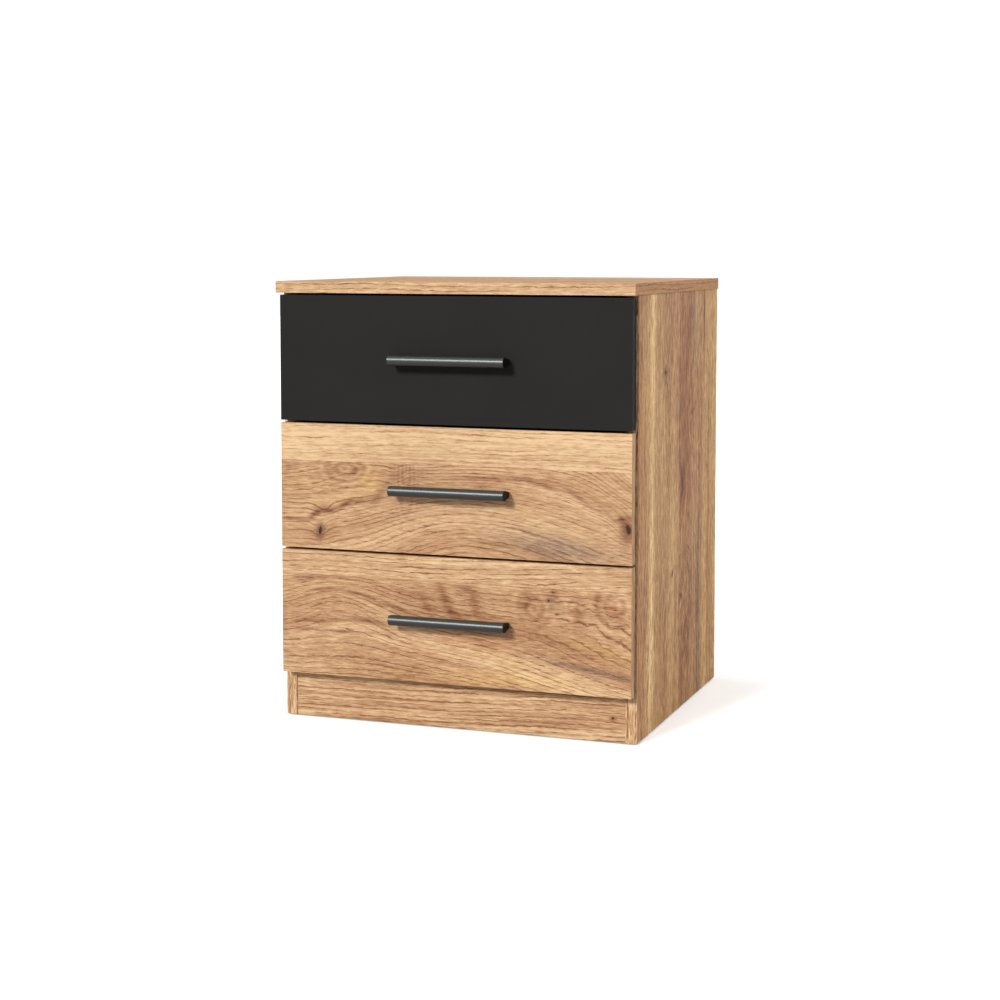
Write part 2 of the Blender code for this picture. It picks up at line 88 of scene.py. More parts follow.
class Graph:
    """The node graph of one material."""

    def __init__(self, name):
        self.material = bpy.data.materials.new(name)
        self.material.use_nodes = True
        self.tree = self.material.node_tree
        self.tree.nodes.clear()
        self.shader = self.tree.nodes.new("ShaderNodeBsdfPrincipled")
        output = self.tree.nodes.new("ShaderNodeOutputMaterial")
        self.tree.links.new(self.shader.outputs[0], output.inputs[0])
        self.place = self.tree.nodes.new("ShaderNodeTexCoord").outputs["Object"]
        parts = self.add("ShaderNodeSeparateXYZ", [self.place])
        self.x, self.y, self.z = (Value(self, parts.outputs[i]) for i in range(3))
        normal = self.tree.nodes.new("ShaderNodeNewGeometry").outputs["True Normal"]
        self.facing = self.add("ShaderNodeSeparateXYZ", [normal])

    def add(self, kind, inputs=(), **settings):
        node = self.tree.nodes.new(kind)
        for key, value in settings.items():
            setattr(node, key, value)
        pairs = inputs.items() if isinstance(inputs, dict) else enumerate(inputs)
        for key, value in pairs:
            if isinstance(value, Value):
                value = value.socket
            if isinstance(value, bpy.types.NodeSocket):
                self.tree.links.new(value, node.inputs[key])
            else:
                node.inputs[key].default_value = value
        return node

    def math(self, operation, *inputs):
        node = self.add("ShaderNodeMath", inputs, operation=operation)
        return Value(self, node.outputs[0])

    def vector(self, x, y, z=0.0):
        return self.add("ShaderNodeCombineXYZ", [x, y, z]).outputs[0]

    def noise(self, x, y, z=0.0, detail=2.0, rough=0.5):
        """Noise about 0, mostly within 0.5 of it, from scaled places."""
        node = self.add("ShaderNodeTexNoise", {
            "Vector": self.vector(x, y, z), "Scale": 1.0, "Detail": detail, "Roughness": rough})
        return Value(self, node.outputs[0]) * 2.0 - 1.0

    def step(self, value, low, high):
        """0 below low, 1 above high, smooth between them."""
        node = self.add("ShaderNodeMapRange", {"Value": value, "From Min": low, "From Max": high},
                        interpolation_type="SMOOTHSTEP")
        return Value(self, node.outputs[0])

    def spot(self, plane, u, v, du, dv, tilt=0.0):
        """1 at (u, v), falling off over du and dv; tilt in degrees turns the spot anticlockwise."""
        node = self.add("ShaderNodeMapping", [
            plane, (u, v, 0.0), (0.0, 0.0, math.radians(tilt)), (du, dv, 1.0)], vector_type="TEXTURE")
        square = self.add("ShaderNodeVectorMath", [node.outputs[0], node.outputs[0]],
                          operation="DOT_PRODUCT").outputs["Value"]
        return self.math("EXPONENT", -Value(self, square))

    def mix(self, factor, first, second, blend="MIX"):
        """Two colours mixed; a colour is a linear triple or a socket."""
        node = self.tree.nodes.new("ShaderNodeMix")
        node.data_type = "RGBA"
        node.blend_type = blend
        node.clamp_factor = True
        for index, value in ((0, factor), (6, first), (7, second)):
            if isinstance(value, Value):
                value = value.socket
            if isinstance(value, bpy.types.NodeSocket):
                self.tree.links.new(value, node.inputs[index])
            elif index:
                node.inputs[index].default_value = (*value, 1.0)
            else:
                node.inputs[index].default_value = value
        return node.outputs[2]

    def ramp(self, value, stops):
        """A colour from stops of value and colour, read along a straight line between them."""
        node = self.add("ShaderNodeValToRGB", [value])
        bar = node.color_ramp.elements
        while len(bar) < len(stops):
            bar.new(0.5)
        for mark, (at, colour) in zip(bar, stops):
            mark.position = at
            mark.color = (*colour, 1.0)
        return node.outputs[0]

    def dark_edge(self, cycle, width):
        """1 where each whole cycle starts, falling off over a share of the cycle."""
        phase = self.math("FRACT", cycle)
        return self.step(phase, width, 0.02) * self.step(phase, 0.0, 0.05)

    def choose(self, axis, across, otherwise):
        """The first value on faces that look along the axis, the second elsewhere."""
        looks = self.math("ABSOLUTE", Value(self, self.facing.outputs["XYZ".index(axis)]))
        share = self.math("GREATER_THAN", looks, 0.72)
        return otherwise + share * (across - otherwise)

    def set(self, **inputs):
        for key, value in inputs.items():
            socket = self.shader.inputs[key.replace("_", " ")]
            if isinstance(value, Value):
                value = value.socket
            if isinstance(value, bpy.types.NodeSocket):
                self.tree.links.new(value, socket)
            elif isinstance(value, tuple):
                socket.default_value = (*value, 1.0)
            else:
                socket.default_value = value

    def bump(self, height, distance, strength=1.0):
        node = self.add("ShaderNodeBump", {"Height": height, "Distance": distance, "Strength": strength})
        self.tree.links.new(node.outputs[0], self.shader.inputs["Normal"])


# ------------------------------------------------------------------- wood
WOOD_SHARE = 0.78  # of a display colour, which the studio's light brings back up
PLANK_SHIFT = 0.3713  # moves the rings from one plank to the next
LINE_SPACING = 0.0062  # between dark lines of the grain


def wood_colour(red, green, blue):
    """What the decor reflects where it shows this display colour in the studio's light."""
    return tuple(WOOD_SHARE * c for c in rgb(red, green, blue))


DARK_LINE = wood_colour(138, 94, 58)
DIM = wood_colour(178, 130, 90)
MIDDLE = wood_colour(204, 161, 118)
LIGHT = wood_colour(240, 204, 156)
RED = wood_colour(172, 108, 72)
BROWN = wood_colour(146, 92, 60)
FIGURE = wood_colour(168, 116, 76)
GREY = wood_colour(150, 120, 98)
YELLOW = wood_colour(222, 180, 118)
KNOT = wood_colour(58, 36, 26)
KNOT_RIM = wood_colour(140, 88, 58)
# Painted shade: darker, warmer tints for the faces that look along X, as that side looks in less light; the
# top's side edges take the stronger second one.
SIDE_PAINTED_SHADE = (0.97, 0.88, 0.69)
TOP_EDGE_PAINTED_SHADE = (0.76, 0.565, 0.36)


def against_middle(tint):
    """What turns the middle tone of the decor into this colour when multiplied with it."""
    return tuple(part / whole for part, whole in zip(tint, MIDDLE))


class Decor(Graph):
    """Oak decor on a board whose faces look along one axis. u runs along the grain, which is X, or Z
    on an upright board, and v across it."""

    def __init__(self, name, face, seed, seams):
        super().__init__(name)
        x, y, z = self.x, self.y, self.z
        if face == "Y":
            self.u = self.choose("X", z, x)
            self.v = self.choose("Y", z, y)
        elif face == "X":
            self.u = self.choose("Z", y, z)
            self.v = self.choose("X", y, x)
        else:
            self.u = self.choose("X", y, x)
            self.v = self.choose("Z", y, z)
        self.plane = self.vector(self.u, self.v)
        self.seed = seed
        self.planks = []
        for place, *_ in seams:
            past = self.math("GREATER_THAN", self.v, place)
            self.planks.append((place, past, 1.0 - past))
        self.strokes = self.figure(60.0, 430.0, 1.3, detail=3.0, rough=0.72)
        self.pores = self.step(self.figure(95.0, 820.0, 23.4, detail=1.0), 0.1, 0.5)

    def figure(self, along, across, shift, ring=None, **settings):
        """Noise drawn out along the grain, on the face itself or along its growth rings."""
        height = self.v if ring is None else ring
        return self.noise(self.u * along, height * across, self.seed + shift, **settings)

    def mark(self, at_u, at_v, du, dv, tilt=0.0):
        """A spot that ends at the seams of its plank."""
        share = self.spot(self.plane, at_u, at_v, du, dv, tilt)
        for place, past, before in self.planks:
            share = share * (past if at_v > place else before)
        return share

    def grow(self, bends, burls, waves):
        """Lays the growth rings along the grain, straight but for bends, burls and waves."""
        ring = self.v
        for _, past, _ in self.planks:
            ring = past * PLANK_SHIFT + ring
        for at_u, at_v, du, dv, height, *tilt in bends:
            ring = ring + self.mark(at_u, at_v, du, dv, *tilt) * height
        for at_u, at_v, du, dv, height in burls:
            crumple = self.figure(42.0, 30.0, 19.0, detail=1.0)
            ring = ring + self.mark(at_u, at_v, du, dv) * crumple * height
        ring = ring + self.figure(3.4, 15.0, 0.0, ring) * (0.010 * waves)
        ring = ring + self.figure(17.0, 60.0, 3.1, ring, detail=1.0) * (0.0030 * waves)
        self.ring = ring + self.figure(90.0, 160.0, 4.2, ring, detail=1.0) * 0.0016
        self.bands = self.figure(4.0, 210.0, 14.9, self.ring, detail=2.0, rough=0.6)

    def shade(self, level, lines, grain, streaks):
        """How light the grain is, from its broad bands down to its pores."""
        broad = self.figure(2.4, 30.0, 7.3, self.ring, detail=1.0)
        cycle = (self.ring + self.strokes * 0.0014) / LINE_SPACING + broad * 0.9
        broken = self.figure(9.0, 0.9, 11.9, cycle, detail=3.0)
        line = self.dark_edge(cycle, 0.34) * self.step(broken, -0.3, 0.2)
        line = line * (0.9 - self.strokes * 0.9)
        fine_cycle = cycle * 2.7 + 0.3
        fine = self.step(self.figure(34.0, 1.0, 13.3, fine_cycle), -0.05, 0.4)
        fine = self.dark_edge(fine_cycle, 0.5) * fine
        shade = 0.63 + level + broad * 0.36 + self.bands * 0.34 * streaks
        shade = shade + self.strokes * 0.68 * grain
        return shade - (line * 0.74 + fine * 0.30) * lines - self.pores * (0.1 + line * 0.2)

    def eye(self, colour, tint, at_u, at_v, du, dv, reach, amount, *tilt):
        away = -self.math("LOGARITHM", self.mark(at_u, at_v, du, dv, *tilt), math.e)
        away = self.math("SQRT", away) + self.figure(30.0, 60.0, 17.0) * 0.35
        rings = self.math("COSINE", away * 2.0 * math.pi) * 0.5 + 0.5
        share = rings * self.mark(at_u, at_v, du * reach, dv * reach, *tilt)
        share = share * (0.8 - self.strokes * 0.8) * amount
        return self.mix(share, colour, against_middle(tint), "MULTIPLY")

    def stain(self, colour, tint, at_u, at_v, du, dv, amount, *tilt):
        share = self.mark(at_u, at_v, du, dv, *tilt)
        share = share * (0.9 - self.bands * 0.5 - self.strokes * 0.4) * amount
        return self.mix(share, colour, against_middle(tint), "MULTIPLY")

    def knot(self, colour, at_u, at_v, du, dv, *tilt):
        ragged = self.figure(160.0, 160.0, 27.0, detail=3.0, rough=0.7)
        halo = self.mark(at_u, at_v, du * 3.0, dv * 1.9, *tilt)
        heart = self.mark(at_u, at_v, du, dv, *tilt)
        colour = self.mix(self.step(halo + ragged * 0.5, 0.15, 0.95) * 0.8, colour, KNOT_RIM)
        return self.mix(self.step(heart + ragged * 0.7, 0.4, 0.8), colour, KNOT)


def oak(name, face, seed, bends=(), burls=(), eyes=(), stains=(), knots=(), seams=(), tone=0.0,
        waves=1.0, marks=1.0, grain=1.0, streaks=1.0, warmth=0.3, painted_side_shade=None):
    """Oak decor on a board whose faces look along an axis. What is placed on that face stays on
    its own plank, and may end with a tilt:
    bends (u, v, du, dv, height) push the growth rings aside,
    burls (u, v, du, dv, height) crumple them,
    eyes (tint, u, v, du, dv, reach, amount) have faint rings of their own,
    stains (tint, u, v, du, dv, amount) tint them,
    knots (u, v, du, dv) are dark hearts,
    seams (v, lift, fade) are where planks meet, from the lowest up: the next is that much lighter,
    and its lines that much fainter.
    The last argument is painted shade: a darker, warmer tint multiplied into the faces that look along X,
    as the shaded side looks."""
    g = Decor(name, face, seed, seams)
    level = tone
    lines = marks
    for (_, past, _), (_, lift, fade) in zip(g.planks, seams):
        level = past * lift + level
        lines = lines - past * fade
    g.grow(bends, burls, waves)
    shade = g.shade(level, lines, grain, streaks)
    colour = g.ramp(shade, ((0.0, DARK_LINE), (0.3, DIM), (0.58, MIDDLE), (1.0, LIGHT)))
    warm = g.step(g.figure(1.7, 17.0, 31.0, g.ring, detail=1.0), 0.0, 0.8)
    colour = g.mix(warm * warmth, colour, RED)
    for eye in eyes:
        colour = g.eye(colour, *eye)
    for stain in stains:
        colour = g.stain(colour, *stain)
    for knot in knots:
        colour = g.knot(colour, *knot)
    for place, *_ in seams:
        gap = g.math("ABSOLUTE", g.v - place)
        colour = g.mix(g.step(gap, 0.0011, 0.0003) * 0.2, colour, DARK_LINE)
    # Painted shade: the faces that look along X are multiplied darker and warmer, as the shaded side looks.
    if painted_side_shade:
        painted_shade_share = g.step(g.math("ABSOLUTE", Value(g, g.facing.outputs[0])), 0.6, 0.8)
        colour = g.mix(painted_shade_share, colour, painted_side_shade, "MULTIPLY")
    g.set(Base_Color=colour, Roughness=0.52 + g.strokes * 0.06 + g.pores * 0.12, Specular_IOR_Level=0.3)
    g.bump(g.pores * -1.0 + g.strokes * 0.3, 0.0001, 0.6)
    return g.material


def front_middle():
    return oak("oak_front_middle", "Y", 2.0, waves=0.55, warmth=0.12, marks=0.8, grain=0.85,
        eyes=[
            (BROWN, -0.158, 0.3585, 0.0145, 0.0085, 3.2, 0.8),
            (BROWN, -0.257, 0.358, 0.012, 0.009, 1.6, 0.6),
            (BROWN, -0.066, 0.362, 0.006, 0.030, 2.6, 0.6)],
        bends=[
            # the wide hill of the lower plank, and its steep right end
            (-0.015, 0.275, 0.110, 0.100, -0.044), (0.115, 0.275, 0.120, 0.120, -0.036),
            (0.300, 0.350, 0.080, 0.050, 0.055),
            # the eye at the upper left with the rings that spread round it, and the crease beside it
            (-0.158, 0.357, 0.060, 0.036, -0.014), (-0.160, 0.360, 0.022, 0.012, -0.005),
            (-0.084, 0.350, 0.012, 0.022, 0.006), (-0.058, 0.357, 0.011, 0.016, -0.004),
            # the two knots and the ripples of the streak between them
            (-0.197, 0.272, 0.012, 0.016, 0.010), (-0.190, 0.302, 0.014, 0.010, 0.008),
            (0.252, 0.294, 0.018, 0.022, 0.026)],
        stains=[
            (BROWN, -0.234, 0.2855, 0.022, 0.0028, 1.1), (BROWN, -0.204, 0.2935, 0.013, 0.0048, 1.3, 35),
            (BROWN, -0.185, 0.3000, 0.014, 0.0050, 1.1), (BROWN, -0.158, 0.3095, 0.017, 0.0040, 1.1, 30),
            (BROWN, -0.126, 0.3150, 0.028, 0.0045, 0.9, 10), (BROWN, -0.101, 0.333, 0.007, 0.022, 0.6, -35),
            (BROWN, -0.178, 0.358, 0.006, 0.009, 0.5, 20), (BROWN, -0.140, 0.360, 0.005, 0.009, 0.5, -20),
            (BROWN, -0.242, 0.362, 0.018, 0.006, 0.5), (YELLOW, -0.120, 0.344, 0.018, 0.015, 0.8),
            (YELLOW, -0.215, 0.337, 0.040, 0.004, 0.7), (YELLOW, -0.150, 0.322, 0.050, 0.005, 0.5, 12),
            (BROWN, -0.070, 0.354, 0.028, 0.014, 0.35), (BROWN, 0.045, 0.3535, 0.060, 0.0030, 0.75),
            (BROWN, 0.130, 0.3480, 0.030, 0.0034, 0.9, -14),
            (BROWN, 0.182, 0.3330, 0.026, 0.0034, 0.85, -32),
            (BROWN, 0.222, 0.3140, 0.018, 0.0030, 0.6, -42), (RED, 0.04, 0.345, 0.13, 0.020, 0.22),
            (GREY, 0.150, 0.263, 0.075, 0.016, 0.95, -8),
            (DARK_LINE, 0.060, 0.2635, 0.026, 0.0016, 0.8, -8),
            (DARK_LINE, -0.030, 0.2770, 0.026, 0.0014, 0.6, 2),
            (DARK_LINE, -0.037, 0.2845, 0.005, 0.0016, 1.0),
            (KNOT_RIM, 0.249, 0.291, 0.013, 0.020, 0.9), (KNOT_RIM, 0.243, 0.3075, 0.012, 0.003, 1.0, 10),
            (KNOT_RIM, -0.196, 0.270, 0.009, 0.012, 0.6)],
        knots=[(-0.1963, 0.2690, 0.0030, 0.0085, -10), (0.2510, 0.293, 0.0042, 0.0095, 12)],
        seams=[(0.3684, 0.22, 0.2)])


def front_bottom():
    return oak("oak_front_bottom", "Y", 12.0, waves=0.55, warmth=0.15, tone=-0.05,
        eyes=[
            (BROWN, 0.1200, 0.1800, 0.0120, 0.0150, 1.9, 0.7),
            (BROWN, 0.2330, 0.1900, 0.0130, 0.0150, 2.4, 0.7),
            (BROWN, 0.1800, 0.1850, 0.0110, 0.0130, 1.7, 0.5)],
        bends=[
            # the cathedral at the left
            (-0.165, 0.178, 0.075, 0.045, -0.034), (-0.155, 0.130, 0.110, 0.040, -0.012),
            # slanting fingers above the handle
            (-0.034, 0.183, 0.010, 0.024, -0.003, 28), (-0.006, 0.186, 0.010, 0.026, -0.003, 25),
            (0.032, 0.186, 0.011, 0.028, -0.003, 25),
            # below the handle everything runs down to the right
            (0.330, 0.090, 0.230, 0.075, 0.075),
            # the upper plank rises a little to the right
            (0.300, 0.226, 0.200, 0.050, -0.020), (-0.180, 0.222, 0.060, 0.012, -0.005)],
        burls=[(0.135, 0.183, 0.032, 0.024, 0.008), (0.222, 0.180, 0.036, 0.026, 0.009)],
        stains=[
            (BROWN, -0.218, 0.203, 0.020, 0.0050, 0.7), (BROWN, -0.188, 0.189, 0.030, 0.0026, 0.8, 6),
            (BROWN, -0.135, 0.1845, 0.026, 0.0022, 0.9, -10),
            (BROWN, -0.085, 0.172, 0.028, 0.0026, 0.9, -20),
            (BROWN, -0.19, 0.145, 0.055, 0.0040, 0.75, 5), (BROWN, -0.125, 0.147, 0.035, 0.0045, 0.8, -6),
            (BROWN, -0.17, 0.130, 0.08, 0.0022, 0.8), (RED, -0.06, 0.190, 0.04, 0.012, 0.4),
            (FIGURE, -0.038, 0.178, 0.0070, 0.022, 0.95, 32),
            (FIGURE, -0.010, 0.188, 0.0072, 0.024, 1.1, 24),
            (FIGURE, 0.003, 0.166, 0.0070, 0.016, 0.9, 45), (FIGURE, 0.034, 0.183, 0.0075, 0.024, 1.1, 22),
            (BROWN, 0.015, 0.203, 0.014, 0.0035, 0.8), (BROWN, 0.012, 0.193, 0.010, 0.0020, 0.6),
            (RED, 0.035, 0.128, 0.055, 0.008, 0.65, -6), (RED, -0.045, 0.112, 0.045, 0.005, 0.5, -18),
            (FIGURE, 0.106, 0.184, 0.008, 0.020, 0.8, -12), (FIGURE, 0.182, 0.174, 0.008, 0.019, 0.9),
            (FIGURE, 0.209, 0.192, 0.008, 0.016, 1.0), (FIGURE, 0.146, 0.196, 0.009, 0.010, 0.7),
            (FIGURE, 0.128, 0.168, 0.008, 0.012, 0.6, 20), (RED, 0.232, 0.184, 0.013, 0.008, 0.9, -20),
            (RED, 0.16, 0.200, 0.05, 0.006, 0.35), (GREY, 0.200, 0.1010, 0.070, 0.0045, 1.0, -9),
            (GREY, 0.147, 0.190, 0.009, 0.012, 0.5), (YELLOW, 0.060, 0.0790, 0.090, 0.0090, 0.8),
            (YELLOW, 0.205, 0.1300, 0.060, 0.008, 0.5, -14), (YELLOW, 0.07, 0.110, 0.05, 0.006, 0.3, -12)],
        knots=[(0.1400, 0.1920, 0.0016, 0.0018), (0.1465, 0.2040, 0.0024, 0.0014),
               (0.1520, 0.1745, 0.0014, 0.0014)],
        seams=[(0.2085, 0.10, 0.0)])


def side(name, seed):
    return oak(name, "X", seed, marks=1.2, grain=2.0, warmth=0.15, painted_side_shade=SIDE_PAINTED_SHADE,
        bends=[
            (0.4920, -0.0587, 0.030, 0.016, 0.016), (0.204, -0.017, 0.012, 0.006, 0.006),
            (0.44, 0.075, 0.09, 0.030, 0.040), (0.33, 0.055, 0.05, 0.025, -0.030),
            (0.24, 0.060, 0.03, 0.024, 0.030), (0.16, 0.050, 0.03, 0.024, -0.030),
            (0.10, 0.055, 0.04, 0.024, 0.025), (0.10, -0.175, 0.12, 0.03, 0.03)],
        eyes=[
            (DARK_LINE, 0.175, 0.058, 0.024, 0.030, 2.2, 0.5),
            (DARK_LINE, 0.100, 0.050, 0.022, 0.028, 1.8, 0.5),
            (DARK_LINE, 0.400, 0.020, 0.050, 0.020, 2.0, 0.35, 25)],
        stains=[
            (RED, 0.46, 0.055, 0.22, 0.050, 0.9), (RED, 0.56, 0.040, 0.05, 0.028, 0.3),
            (RED, 0.08, 0.045, 0.12, 0.040, 0.7), (RED, 0.31, 0.040, 0.03, 0.03, 0.6),
            (DARK_LINE, 0.34, 0.045, 0.04, 0.012, 0.6, 30), (DARK_LINE, 0.44, 0.092, 0.07, 0.006, 0.6, -8),
            (DARK_LINE, 0.54, 0.070, 0.05, 0.006, 0.6, 15), (DARK_LINE, 0.05, 0.038, 0.05, 0.008, 0.6),
            (GREY, 0.12, 0.130, 0.14, 0.009, 1.1), (GREY, 0.02, 0.138, 0.06, 0.008, 0.7),
            (GREY, 0.56, 0.100, 0.08, 0.014, 0.7), (YELLOW, 0.262, 0.050, 0.020, 0.020, 0.7),
            (RED, 0.3, -0.178, 0.6, 0.026, 0.55), (YELLOW, 0.46, -0.170, 0.12, 0.020, 0.5),
            (DARK_LINE, 0.528, -0.182, 0.020, 0.005, 0.8), (LIGHT, 0.40, -0.124, 0.40, 0.021, 1.0),
            (LIGHT, 0.10, -0.128, 0.14, 0.016, 0.6), (DIM, 0.56, -0.060, 0.08, 0.040, 0.5),
            (DARK_LINE, 0.22, -0.080, 0.12, 0.004, 0.5), (DIM, 0.10, -0.050, 0.10, 0.030, 0.5),
            (YELLOW, 0.3, 0.176, 0.6, 0.010, 0.9), (RED, 0.24, 0.192, 0.3, 0.0055, 0.7),
            (YELLOW, 0.3, 0.226, 0.6, 0.013, 0.9), (KNOT_RIM, 0.575, 0.1615, 0.07, 0.0042, 1.3)],
        knots=[(0.4920, -0.0587, 0.0034, 0.0080), (0.204, -0.017, 0.0024, 0.0050, -40)],
        seams=[(0.0163, -0.10, -0.4), (0.152, 0.10, 0.3)])


def plinth():
    return oak("oak_plinth", "Y", 31.0, waves=0.5, marks=1.25, streaks=2.6, painted_side_shade=SIDE_PAINTED_SHADE,
        bends=[(0.25, 0.02, 0.20, 0.05, -0.010)], knots=[(0.2248, 0.0343, 0.0024, 0.0022)])


def top():
    return oak("oak_top", "Z", 41.0, waves=0.6, tone=-0.02, painted_side_shade=TOP_EDGE_PAINTED_SHADE)


# ------------------------------------------------------------ other materials
def anthracite():
    g = Graph("anthracite_board")
    cloud = g.noise(g.x * 9.0, g.z * 14.0, 1.0)
    speckle = g.noise(g.x * 2600.0, g.z * 2600.0, g.y * 2600.0, detail=1.0)
    colour = g.mix(0.5 + cloud * 0.3 + speckle * 0.35, rgb(22, 21, 19), rgb(31, 30, 28))
    g.set(Base_Color=colour, Roughness=0.6 + speckle * 0.06, Specular_IOR_Level=0.15)
    g.bump(speckle, 0.00005, 0.5)
    return g.material


def handle_paint():
    g = Graph("handle_paint")
    brushed = g.noise(g.x * 60.0, g.z * 2600.0, g.y * 2600.0, detail=2.0)
    cloud = g.noise(g.x * 60.0, g.z * 60.0, g.y * 60.0)
    colour = g.mix(0.5 + cloud * 0.4 + brushed * 0.4, rgb(20, 21, 20), rgb(32, 34, 33))
    # Painted shade: the bar's end faces, which look along X, are painted near black and made to reflect
    # little, as they look in shadow.
    ends = g.math("ABSOLUTE", Value(g, g.facing.outputs[0]))
    g.set(Base_Color=g.mix(ends, colour, rgb(14, 13, 12)), Roughness=0.40 + brushed * 0.04,
          Specular_IOR_Level=1.0 - ends * 0.9, Specular_Tint=(0.84, 0.86, 0.84))
    g.bump(brushed, 0.00001, 0.1)
    return g.material


def melamine():
    g = Graph("drawer_melamine")
    speckle = g.noise(g.x * 1800.0, g.y * 1800.0, g.z * 1800.0, detail=2.0)
    cloud = g.noise(g.x * 12.0, g.y * 12.0, g.z * 12.0)
    colour = g.mix(0.5 + cloud * 0.3 + speckle * 0.4, rgb(196, 194, 189), rgb(212, 210, 205))
    g.set(Base_Color=colour, Roughness=0.5 + speckle * 0.08)
    g.bump(speckle, 0.00005, 0.5)
    return g.material


def hardboard():
    g = Graph("hardboard")
    lacquered = Value(g, g.facing.outputs[2])
    lacquered = g.step(lacquered - Value(g, g.facing.outputs[1]), 0.3, 0.6)
    fibre = g.noise(g.x * 420.0, g.y * 420.0, g.z * 420.0, detail=4.0, rough=0.7)
    cloud = g.noise(g.x * 16.0, g.y * 16.0, g.z * 16.0)
    raw = g.mix(0.5 + fibre * 0.6 + cloud * 0.2, rgb(122, 86, 58), rgb(168, 128, 92))
    paint = g.mix(0.5 + fibre * 0.3 + cloud * 0.3, rgb(206, 203, 196), rgb(220, 217, 211))
    g.set(Base_Color=g.mix(lacquered, raw, paint), Roughness=0.75 - lacquered * 0.28)
    g.bump(fibre, 0.00012, 0.5)
    return g.material


def epoxy():
    g = Graph("runner_epoxy")
    skin = g.noise(g.x * 900.0, g.y * 900.0, g.z * 900.0, detail=1.0)
    cloud = g.noise(g.x * 30.0, g.y * 9.0, g.z * 30.0)
    colour = g.mix(0.5 + cloud * 0.4, rgb(214, 213, 208), rgb(228, 227, 223))
    g.set(Base_Color=colour, Roughness=0.36 + skin * 0.05, Coat_Weight=0.2, Coat_Roughness=0.25)
    g.bump(skin, 0.00008, 0.4)
    return g.material


def nylon():
    g = Graph("roller_nylon")
    skin = g.noise(g.x * 700.0, g.y * 700.0, g.z * 700.0, detail=2.0)
    colour = g.mix(0.5 + skin * 0.5, rgb(222, 220, 211), rgb(236, 234, 227))
    g.set(Base_Color=colour, Roughness=0.42 + skin * 0.07)
    g.bump(skin, 0.00005, 0.4)
    return g.material


def zinc():
    g = Graph("screw_zinc")
    skin = g.noise(g.x * 1500.0, g.y * 1500.0, g.z * 1500.0, detail=2.0)
    colour = g.mix(0.5 + skin * 0.6, rgb(176, 178, 180), rgb(206, 208, 210))
    g.set(Base_Color=colour, Metallic=1.0, Roughness=0.3 + skin * 0.1)
    g.bump(skin, 0.00003, 0.4)
    return g.material


def glide():
    g = Graph("glide_plastic")
    skin = g.noise(g.x * 900.0, g.y * 900.0, g.z * 900.0, detail=2.0)
    colour = g.mix(0.5 + skin * 0.5, rgb(84, 62, 46), rgb(104, 79, 60))
    g.set(Base_Color=colour, Roughness=0.5 + skin * 0.08)
    g.bump(skin, 0.00005, 0.4)
    return g.material


# ----------------------------------------------------------------- pieces
CORNER_ANGLE = 40  # between faces, from which an edge is a corner to be rounded
SMOOTH_ANGLE = 30  # up to which neighbouring faces are shaded as one
FRONT_EDGE = 0.0008
PANEL_EDGE = 0.0006
PLINTH_EDGE = 0.0005
DRAWER_EDGE = 0.0004

LEG_WIDTH = 0.008
BAR_DEPTH = 0.009
FOOT_HEIGHT = 0.008
BAR_ROUNDING = 0.0068  # of the bar's two front edges
BAR_CORNER = 0.0006
BAR_STEPS = 18  # of each rounding

NAIL_COUNT = 6
NAIL_FROM_END = 0.022
NAIL_STEPS = 20  # round its head
# radius and rise of a nail's head, from its crown to the middle of its foot
NAIL_HEAD = ((0.0, 0.0009), (0.0009, 0.0008), (0.0016, 0.0005), (0.0021, 0.0002), (0.0021, 0.0), (0.0, 0.0))


def wear(material, names, radius=0.0):
    """Gives CAD nodes their material, and their edges the radius of edged board."""
    for name in names:
        piece = nodes[name]
        piece.data.materials.clear()
        piece.data.materials.append(material)
        if radius:
            rounded(piece, radius, 2)


def rounded(piece, radius, segments):
    """Rounds every corner between faces, and leaves the facets of round stretches alone."""
    edge = piece.modifiers.new("rounded_edges", "BEVEL")
    edge.width = radius
    edge.segments = segments
    edge.limit_method = "ANGLE"
    edge.angle_limit = math.radians(CORNER_ANGLE)


def smooth_group():
    """Geometry nodes that shade a piece smooth, but keep its corners crisp."""
    group = bpy.data.node_groups.new("smooth_rounds", "GeometryNodeTree")
    for way in ("INPUT", "OUTPUT"):
        group.interface.new_socket("Geometry", in_out=way, socket_type="NodeSocketGeometry")
    start = group.nodes.new("NodeGroupInput")
    end = group.nodes.new("NodeGroupOutput")
    faces = group.nodes.new("GeometryNodeSetShadeSmooth")
    faces.domain = "FACE"
    edges = group.nodes.new("GeometryNodeSetShadeSmooth")
    edges.domain = "EDGE"
    edges.inputs["Shade Smooth"].default_value = False
    angle = group.nodes.new("GeometryNodeInputMeshEdgeAngle")
    corner = group.nodes.new("FunctionNodeCompare")
    corner.inputs[1].default_value = math.radians(SMOOTH_ANGLE)
    group.links.new(start.outputs[0], faces.inputs[0])
    group.links.new(faces.outputs[0], edges.inputs[0])
    group.links.new(angle.outputs[0], corner.inputs[0])
    group.links.new(corner.outputs[0], edges.inputs["Selection"])
    group.links.new(edges.outputs[0], end.inputs[0])
    return group


def smooth(names):
    """Turned CAD pieces, shaded as round as they are."""
    group = smooth_group()
    for name in names:
        nodes[name].modifiers.new("smooth_rounds", "NODES").node_group = group


def new_piece(name, mesh, material):
    """An object of its own for this mesh, in the scene."""
    mesh.materials.append(material)
    piece = bpy.data.objects.new(name, mesh)
    bpy.context.scene.collection.objects.link(piece)
    return piece


